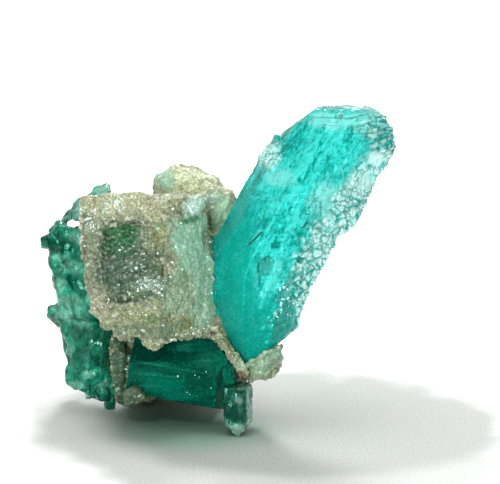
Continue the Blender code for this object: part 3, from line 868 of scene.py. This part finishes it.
# Where the recess runs out softly into the rock's face; its top edge stays sharp.
SOFT_EDGES = (
    (101, 268, 13, 34), (130, 301, 40, 13), (164, 256, 13, 40), (100, 230, 11, 12, 0.8),
    (130, 268, 26, 24, 0.8),
)
SOFT_ROUNDS = 60
CRACK = ((112, 301), (121, 301), (130, 299), (139, 296), (148, 293))
CRACK_SIZE = (7, 2.4)       # its half-sizes in pixels at each of those pixels
# How the rock is drawn up to the crystals, in millimetres.
SEAM_REACH = 0.42           # points this near a crystal are drawn to it
SEAM_HELD = 0.2             # and nearer than this they go all the way
SEAM_SINK = 0.03            # to this far under its surface


def crack_depth(points, tree):
    """1 along the dark groove across the rock's face, 0 away from it."""
    return most(*(patch(points, tree, u, v, *CRACK_SIZE, depth=0.8, edge=0.5) for u, v in CRACK))


def rock_mesh():
    mesh, points, tree = even_mesh("matrix_rock")
    soften(mesh, patches(points, tree, SOFT_EDGES), SOFT_ROUNDS)
    points, tree = points_of(mesh), tree_of(mesh)
    stains_and_light = all_patches(points, tree, STAINS_AND_PAINTED_LIGHT)
    gap, _, dice = cells(points, SUGAR_CELLS, 1)
    gap_large, _, dice_large = cells(points, LARGE_CELLS, 2)
    amounts = 0.05 * (rise(0.0, 0.4, gap) - 0.6) + 0.06 * (dice - 0.5)
    amounts += 0.05 * (rise(0.0, 0.35, gap_large) - 0.7) + 0.08 * (dice_large - 0.5)
    amounts += 0.035 * field(points, 0.16, 5) + 0.03 * field(points, (0.5, 0.3, 0.15), 6)
    amounts *= 1.0 + 0.7 * stains_and_light["grey"] - 0.5 * stains_and_light["mint"]
    amounts -= 0.14 * crack_depth(points, tree) + 0.1 * stains_and_light["dark"]
    push(mesh, amounts * rise(0.03, 0.4, points[:, 2]))
    paint_all(mesh, stains_and_light)
    return mesh


def close_seam(mesh, trees):
    """Draw the rock up to the crystals that grow in it, and out of their way."""
    points = points_of(mesh)
    for tree in trees:
        for index, row in enumerate(points):
            spot, normal, _, distance = tree.find_nearest(row, SEAM_REACH)
            if spot is None:
                continue
            away = (Vector(row) - spot).dot(normal)
            share = 1.0 - (distance - SEAM_HELD) / (SEAM_REACH - SEAM_HELD)
            pull = 1.0 if away < SEAM_HELD else max(share, 0.0)
            goal = np.array(spot - normal * SEAM_SINK)
            points[index] += (goal - points[index]) * pull
    set_points(mesh, points)


def rock_material(name="matrix_rock_sugar"):
    mat = Material(name)
    shade, pick = mat.dice(mat.cell(GRAIN_CELLS))
    border = mat.cell(GRAIN_CELLS, "Distance", "DISTANCE_TO_EDGE")
    cloud = mat.noise(1.0, detail=4.0, roughness=0.6)
    fine = mat.noise(0.1, detail=3.0, roughness=0.7)
    colour = mat.tinted(mat.between(cloud, 0.38, 0.62, *ROCK_BODY), ROCK_TINTS)
    light = mat.ramp(shade, 0.0, 1.0, 0.76, 1.24)
    gap = mat.ramp(border, 0.0, 0.16, 0.6, 1.03)
    worn = mat.ramp(fine, 0.34, 0.62, 0.77, 1.13)
    grained = mat.times(colour, mat.product(mat.product(light, gap), worn))
    colour = mat.mix(mat.faded("mint", 1.0, 0.45), colour, grained)
    # Painted glints on a few glassy grains, which are also glossier.
    colour = mat.mix(mat.ramp(pick, 0.94, 0.97, 0.0, 0.3), colour, linear(*GLASSY_GRAIN_GLINT))
    mat.set("Base Color", mat.tinted(colour, ROCK_RIM))
    mat.set("Roughness", mat.ramp(pick, 0.0, 1.0, 0.55, 0.18))
    mat.set("Subsurface Weight", 0.15)
    mat.set("Subsurface Radius", (1.0, 1.0, 0.8))
    mat.set("Subsurface Scale", 0.2 * MM)
    facets = mat.bump(mat.sum(shade, border), 0.03)
    mat.set("Normal", mat.bump(fine, 0.03, under=facets))
    return mat.data


# ---- tiny grains and flecks ------------------------------
GRAIN_COUNT = 1700
GRAIN_SIZES = (0.012, 0.031, 3)     # least half-size in millimetres, its growth, and the power
GRAIN_SEEDS = (11, 5, 6)            # for places, sizes and shapes
GRAIN_SINK = 0.3                    # the share of a half-size that is sunk in the surface
FLECK_COUNT = 48
FLECK_SIZES = (0.03, 0.035, 1)
FLECK_SEEDS = (12, 7, 8)
FLECK_SINK = 0.6
CHIP_STRETCH = (0.35, 2.0)
CHIP_UNEVEN = (0.75, 1.2)
GLINT_IOR = 1.8


def chips(places, normals, sizes, seed, sink):
    """One mesh of tiny uneven twenty-sided chips, one at each place."""
    bm = bmesh.new()
    bmesh.ops.create_icosphere(bm, subdivisions=1, radius=1.0)
    shape = np.array([vert.co[:] for vert in bm.verts])
    faces = np.array([[vert.index for vert in face.verts] for face in bm.faces])
    bm.free()
    dice = np.random.default_rng(seed)
    count = len(places)
    stretch = dice.uniform(*CHIP_STRETCH, (count, 1, 3)) * sizes[:, None, None]
    uneven = dice.uniform(*CHIP_UNEVEN, (count, len(shape), 1))
    turns, _ = np.linalg.qr(dice.normal(size=(count, 3, 3)))
    turns[:, :, 0] *= np.sign(np.linalg.det(turns))[:, None]
    grains = np.einsum("cij,cvj->cvi", turns, shape[None] * uneven * stretch)
    grains += (places + normals * sizes[:, None] * (1.0 - sink))[:, None, :]
    corners = faces[None] + (np.arange(count) * len(shape))[:, None, None]
    mesh = bpy.data.meshes.new("chips")
    mesh.from_pydata(grains.reshape(-1, 3).tolist(), [], corners.reshape(-1, 3).tolist())
    mesh.update()
    return mesh


def scattered(mesh, weights, count, sizes, seeds, sink):
    """Chips on faces picked at random, large and heavy ones more often."""
    where, how_large, shape = seeds
    least, growth, power = sizes
    centres = read(mesh.polygons, "center", 3)
    normals = read(mesh.polygons, "normal", 3)
    share = read(mesh.polygons, "area", 1)[:, 0] * weights(centres)
    picks = np.random.default_rng(where).choice(len(share), size=count, p=share / share.sum())
    drawn = least + growth * np.random.default_rng(how_large).random(count) ** power
    return chips(centres[picks], normals[picks], drawn, shape, sink)


def quartz_grains(mesh, tree):
    """Tiny glassy chips scattered over the rock, thickest where it glitters."""
    def weights(centres):
        bare = 1.0 - patches(centres, tree, STAINS_AND_PAINTED_LIGHT["moss"])
        return (0.045 + 3.0 * patches(centres, tree, GLITTER) ** 2) * bare + 0.0001

    return scattered(mesh, weights, GRAIN_COUNT, GRAIN_SIZES, GRAIN_SEEDS, GRAIN_SINK)


def pale_flecks(mesh, tree):
    """Short bright flecks low on the front of the long crystal."""
    def weights(centres):
        return patches(centres, tree, MAIN_PATCHES["flecks"], MAIN_PATCH_DEPTH) ** 2 + 1e-9

    return scattered(mesh, weights, FLECK_COUNT, FLECK_SIZES, FLECK_SEEDS, FLECK_SINK)


def grain_material(name="quartz_grain_glint", dull=(210, 236, 222), bright=(240, 255, 250)):
    mat = Material(name)
    mat.set("Base Color", mat.between(mat.noise(0.3), 0.4, 0.6, dull, bright))
    mat.set("Roughness", mat.ramp(mat.noise(0.1), 0.3, 0.7, 0.04, 0.2))
    mat.set("IOR", GLINT_IOR)
    return mat.data


# ---- crusts and lumps along lines ------------------------
# Thin crusts of rock on and between the crystals: the pixels along each, its half-width in pixels,
# and how many pixels aside its depth is read from the surface that the camera sees there.
CRUSTS = (
    (((219, 335), (226, 344), (231, 350), (236, 358), (241, 366), (246, 374)), 3.8, (9, -4)),
    (((222, 342), (227, 349), (231, 356), (235, 362), (238, 369)), 3.8, (14, -8)),
    (((245, 367), (252, 361), (259, 358), (266, 353), (273, 351), (281, 346)), 2.6, (-3, -7)),
    (((119, 342), (121, 354), (122, 366), (121, 378), (120, 390)), 5.2, (-3, 0)),
    (((119, 388), (122, 400), (130, 403), (128, 394), (136, 391), (136, 399), (142, 396)), 5.2,
     (0, -7)),
)
# The ragged green end of the prism, in the same way.
PRISM_END = (
    (((226, 359), (226, 368), (226, 377), (227, 384)), 3.4, (-12, 0)),
    (((231, 366), (231, 374), (232, 382)), 3.4, (-16, 2)),
)
LUMP_STEP = 1.5             # pixels from one lump to the next
LUMP_SIZES = (0.75, 1.2)    # times the line's half-width
LUMP_SEED = 31
CRUST_CELLS = 0.2
CRUST_PATCH_DEPTH = 2.5
HEEL_END = -2.8             # crust further left than this is the mossy heel
HEEL_MOSS = 0.85


def lumps(lines, trees):
    """Small lumps strung along each line of pixels and run together."""
    dice = np.random.default_rng(LUMP_SEED)
    bm = bmesh.new()
    for pixels, half_width, aside in lines:
        for start, end in zip(pixels, pixels[1:]):
            for share in np.arange(0.0, 1.0, LUMP_STEP / math.dist(start, end)):
                u, v = (a + (b - a) * share for a, b in zip(start, end))
                spot, _ = seen_at(trees, u + aside[0], v + aside[1])
                if spot is None:
                    continue
                place = CAMERA_PLACE + ray_through(u, v) * (spot - CAMERA_PLACE).dot(FORWARD)
                radius = half_width * MILLIMETRES_PER_PIXEL * dice.uniform(*LUMP_SIZES)
                bmesh.ops.create_icosphere(bm, subdivisions=2, radius=radius,
                                           matrix=Matrix.Translation(place))
    return remeshed(mesh_from(bm, "lumps"), LUMP_VOXEL)


def prism_end_mesh(trees):
    mesh = lumps(PRISM_END, trees)
    points = points_of(mesh)
    push(mesh, 0.06 * field(points, 0.3, 11) + 0.02 * field(points, 0.12, 12))
    paint(mesh, "end", rise(-0.3, 0.5, field(points, 0.35, 18)))
    return mesh


def crust_mesh(trees):
    """Crusts of rock; the first tree is the rock's."""
    mesh = lumps(CRUSTS, trees)
    points = points_of(mesh)
    heel = (points[:, 0] < HEEL_END).astype(float)
    gap, _, dice = cells(points, CRUST_CELLS, 8)
    bumps = 0.1 * field(points, 0.4, 10) + 0.03 * field(points, 0.12, 9)
    bumps += 0.04 * (rise(0.0, 0.4, gap) - 0.6) + 0.05 * (dice - 0.5)
    push(mesh, bumps * (1.0 - 0.4 * heel))
    soften(mesh, heel, 2)
    for name, rows in STAINS_AND_PAINTED_LIGHT.items():
        values = patches(points, trees[0], rows, CRUST_PATCH_DEPTH)
        paint(mesh, name, most(values, HEEL_MOSS * heel) if name == "moss" else values)
    # Painted highlights on the crust's ridges, away from the heel.
    paint(mesh, "rim", rise(0.03, 0.1, ridges(mesh)) * (1.0 - heel))
    return mesh


# ---- small things in and on the crystals -----------------
FLAKE_SEED = 21
FLAKE_SINK = 0.7
# Painted glints, as single bright flakes: pixel and half-size in pixels.
GLINT_FLAKES = (
    (178, 376, 0.8), (187, 392, 1.0), (190, 394, 0.6), (195, 375, 0.6), (199, 377, 0.5),
    (211, 388, 0.6), (129, 358, 1.4), (215, 400, 0.7), (206, 372, 0.5), (197, 396, 0.5),
    (144, 331, 0.9), (98, 343, 1.8), (101, 344, 1.8), (95, 343, 1.4), (92, 341, 1.1),
    (125, 369, 1.8), (125, 372, 2.0), (123, 380, 1.2), (176, 247, 1.8), (179, 245, 1.1),
    (170, 277, 1.4), (207, 322, 1.3), (252, 364, 1.3), (236, 352, 0.9), (158, 228, 1.5),
    (103, 212, 1.6), (90, 226, 1.6), (116, 202, 1.5), (207, 257, 1.2), (205, 284, 1.1),
)


def seen_flakes(trees):
    """A bright flake, a painted glint, at each of those pixels, on whatever the camera sees there.
    """
    seen = [(*seen_at(trees, u, v), size * MILLIMETRES_PER_PIXEL) for u, v, size in GLINT_FLAKES]
    seen = [flake for flake in seen if flake[0] is not None]
    return chips(*(np.array(column) for column in zip(*seen)), FLAKE_SEED, FLAKE_SINK)


FIBRE_TONES = ((10, 20, 24), (40, 46, 52))
FIBRE_RADIUS = 0.03
FIBRE_OVERLAP = 1.03        # its two tubes are a little long, so that they meet
FIBRE_BEND = 0.2            # pixels its middle is moved to the right and down
FIBRES = (((249, 245), (262, 232)), ((302, 228), (307, 222)))


def fibre_mesh(tree):
    """Thin dark dust fibres that lie on the long crystal, each a bent tube through three points."""
    bm = bmesh.new()
    for start, end in FIBRES:
        middle = [(a + b) / 2.0 + FIBRE_BEND for a, b in zip(start, end)]
        line = []
        for pixel in (start, middle, end):
            point, normal = seen_at([tree], *pixel)
            line.append(point + normal * FIBRE_RADIUS)
        for first, last in zip(line, line[1:]):
            turn = (last - first).to_track_quat("Z", "Y").to_matrix().to_4x4()
            place = Matrix.Translation((first + last) / 2.0) @ turn
            bmesh.ops.create_cone(bm, cap_ends=True, segments=8, radius1=FIBRE_RADIUS,
                                  radius2=FIBRE_RADIUS, depth=(last - first).length * FIBRE_OVERLAP,
                                  matrix=place)
    return mesh_from(bm, "fibres")


def fibre_material():
    mat = Material("dust_fibre")
    mat.set("Base Color", mat.mix(mat.noise(0.1), *(linear(*tone) for tone in FIBRE_TONES)))
    mat.set("Roughness", 0.6)
    return mat.data


# ---- putting the object together -------------------------
def build_object():
    """Make every mesh and then every piece, because piece() turns millimetres to metres."""
    main, cluster, prism, tip = main_crystal_mesh(), cluster_mesh(), prism_mesh(), tip_mesh()
    rock = rock_mesh()
    close_seam(rock, [tree_of(mesh) for mesh in (main, cluster, prism, tip)])
    # Painted highlights on the rock's ridges.
    paint(rock, "rim", rise(0.02, 0.09, ridges(rock)))
    trees = [tree_of(mesh) for mesh in (rock, main, cluster, prism)]
    grains, fibres, flakes = quartz_grains(rock, trees[0]), fibre_mesh(trees[1]), seen_flakes(trees)
    flecks, crust, end = pale_flecks(main, trees[1]), crust_mesh(trees), prism_end_mesh(trees)
    flake = grain_material("glint_flake", (120, 210, 184), (206, 250, 236))
    fleck = grain_material("pale_fleck", (120, 232, 220), (206, 255, 248))
    piece("matrix_rock_detail", rock, rock_material(), "matrix_rock")
    piece("quartz_grains", grains, grain_material(), None, smooth=False)
    piece("rock_crust", crust, rock_material("rock_crust_sugar"), None)
    piece("paraiba_crystal_detail", main, main_crystal_material(), "paraiba_crystal")
    piece("dust_fibres", fibres, fibre_material())
    piece("glint_flakes", flakes, flake, None, smooth=False)
    piece("pale_flecks", flecks, fleck, None, smooth=False)
    piece("left_cluster_detail", cluster, cluster_material(), "left_crystal_cluster")
    piece("lower_prism_detail", prism, prism_material(), "lower_prism")
    piece("lower_prism_end", end, prism_material("lower_prism_end_glass"), None)
    piece("pale_tip_detail", tip, tip_material(), "pale_tip_crystal")
    piece("pale_tip_core", tip_core_mesh(), tip_core_material(), None)


# ---- floor, light and camera -----------------------------
FLOOR_SIZE = 1200.0
PAPER_TONES = ((194, 196, 194), (212, 214, 212))
# Ovals of painted light and shadow on the floor: centre, half-sizes, turn, and how wavy the edge
# is.
POOL = ((2.6, -3.0), (11.3, 8.6), math.radians(30.0), 0.22)     # grey within, glowing white outside
CORE = ((4.3, -1.5), (9.5, 7.4), 0.0, 0.08)                     # where the shadow is deepest
GREEN = ((-1.0, -2.8), (4.0, 3.2), 0.0, 0.08)                   # green light from the crystals
GREEN_TONE = (174, 207, 187)
OVAL_WAVES = 5.0                  # size of the waves in the ovals' edges
FRONT_SKY = (0.03, 0.09, 0.06, 1.0)      # dim and greenish in front, white behind and above
BACK_SKY = (0.75, 0.75, 0.75, 1.0)
SKY_MIDDLE = Vector((0.0, 0.5, 0.86)).normalized()
SKY_BLEND = (0.0, 0.9)                   # cosines to it: the front's tone, and the back's
# Soft square lights: place and width in millimetres, watts, and whether the floor is spared.
LIGHTS = (
    ("overhead", (0.0, 12.0, 130.0), 60.0, 0.056, False),
    ("back", (12.0, 84.0, 100.0), 24.0, 0.098, False),
    ("front", (-30.0, -150.0, 42.0), 50.0, 0.205, True),
    ("glint", (-40.0, -90.0, 110.0), 9.0, 0.01, False),
)
LIGHTS_AIM = Vector((0.0, 0.0, 6.0))


def floor_reach(mat, centre, sizes, turn, waves):
    """How far a place on the floor is from an oval's centre, 1 on its wavy edge."""
    back = (-centre[0] * MM, -centre[1] * MM, 0.0)
    moved = mat.vector("ADD", mat.place, back)
    turned = mat.node("Mapping", {"Vector": moved, "Rotation": (0.0, 0.0, turn)})
    spread = mat.vector("MULTIPLY", turned, (1.0 / (sizes[0] * MM), 1.0 / (sizes[1] * MM), 0.0))
    reach = mat.node("VectorMath", {0: spread}, "Value", operation="LENGTH")
    return mat.sum(reach, mat.ramp(mat.noise(OVAL_WAVES), 0.0, 1.0, -waves, waves))


def build_floor():
    bm = bmesh.new()
    bmesh.ops.create_grid(bm, x_segments=2, y_segments=2, size=FLOOR_SIZE * MM / 2.0)
    floor = placed("floor", mesh_from(bm, "floor"))
    mat = Material("floor_paper")
    paper = mat.between(mat.noise(0.12), 0.3, 0.7, *PAPER_TONES)
    # Painted green light from the crystals, tinted into the floor's colour.
    green = floor_reach(mat, *GREEN)
    green = mat.ramp(green, 0.3, 1.25, 1.0, 0.0)
    mat.set("Base Color", mat.mix(green, paper, linear(*GREEN_TONE)))
    mat.set("Roughness", 0.9)
    # Painted light and shadow: the floor glows white outside the pool, and a little outside the
    # core, leaving a painted shadow around the object.
    pool = floor_reach(mat, *POOL)
    core = floor_reach(mat, *CORE)
    glow = mat.sum(mat.ramp(pool, 0.9, 1.2, 0.0, 0.55), mat.ramp(core, 0.86, 1.12, 0.0, 0.22))
    mat.set("Emission Color", WHITE)
    mat.set("Emission Strength", glow)
    floor.data.materials.append(mat.data)
    return floor


def build_world():
    """White to the camera, and a dimmer sky as light."""
    world = bpy.data.worlds.new("studio")
    world.use_nodes = True
    bpy.context.scene.world = world
    nodes = Nodes(world.node_tree)
    seen = nodes.tree.nodes["Background"]
    nodes.put(seen.inputs["Color"], WHITE)
    place = nodes.node("TexCoord", output="Generated")
    facing = nodes.node("VectorMath", {0: place, 1: SKY_MIDDLE}, "Value", operation="DOT_PRODUCT")
    sky = nodes.mix(nodes.ramp(facing, *SKY_BLEND), FRONT_SKY, BACK_SKY)
    light = nodes.node("Background", {"Color": sky})
    to_camera = nodes.node("LightPath", output="Is Camera Ray")
    mixed = nodes.node("MixShader", {0: to_camera, 1: light, 2: seen.outputs[0]})
    nodes.put(nodes.tree.nodes["World Output"].inputs["Surface"], mixed)


def build_lights(floor):
    """The lights, each turned to the object; the front one reaches everything but the floor."""
    spared = bpy.data.collections.new("floor_only")
    spared.objects.link(floor)
    for name, place, width, watts, spares_floor in LIGHTS:
        data = bpy.data.lights.new(name, "AREA")
        data.size = width * MM
        data.energy = watts
        light = placed(name, data)
        light.location = Vector(place) * MM
        light.rotation_euler = (Vector(place) - LIGHTS_AIM).to_track_quat("Z", "Y").to_euler()
        light.visible_camera = False
        if spares_floor:
            light.light_linking.receiver_collection = spared
            for member in spared.collection_objects:
                member.light_linking.link_state = "EXCLUDE"


def build_camera():
    data = bpy.data.cameras.new("camera")
    data.lens = CAMERA_LENS
    data.sensor_width = CAMERA_SENSOR
    data.clip_start = CAMERA_NEAR * MM
    camera = placed("camera", data)
    camera.location = CAMERA_PLACE * MM
    camera.rotation_euler = (-FORWARD).to_track_quat("Z", "Y").to_euler()
    bpy.context.scene.camera = camera


build_camera()
build_object()
build_lights(build_floor())
build_world()
bpy.context.scene.view_settings.view_transform = "Standard"
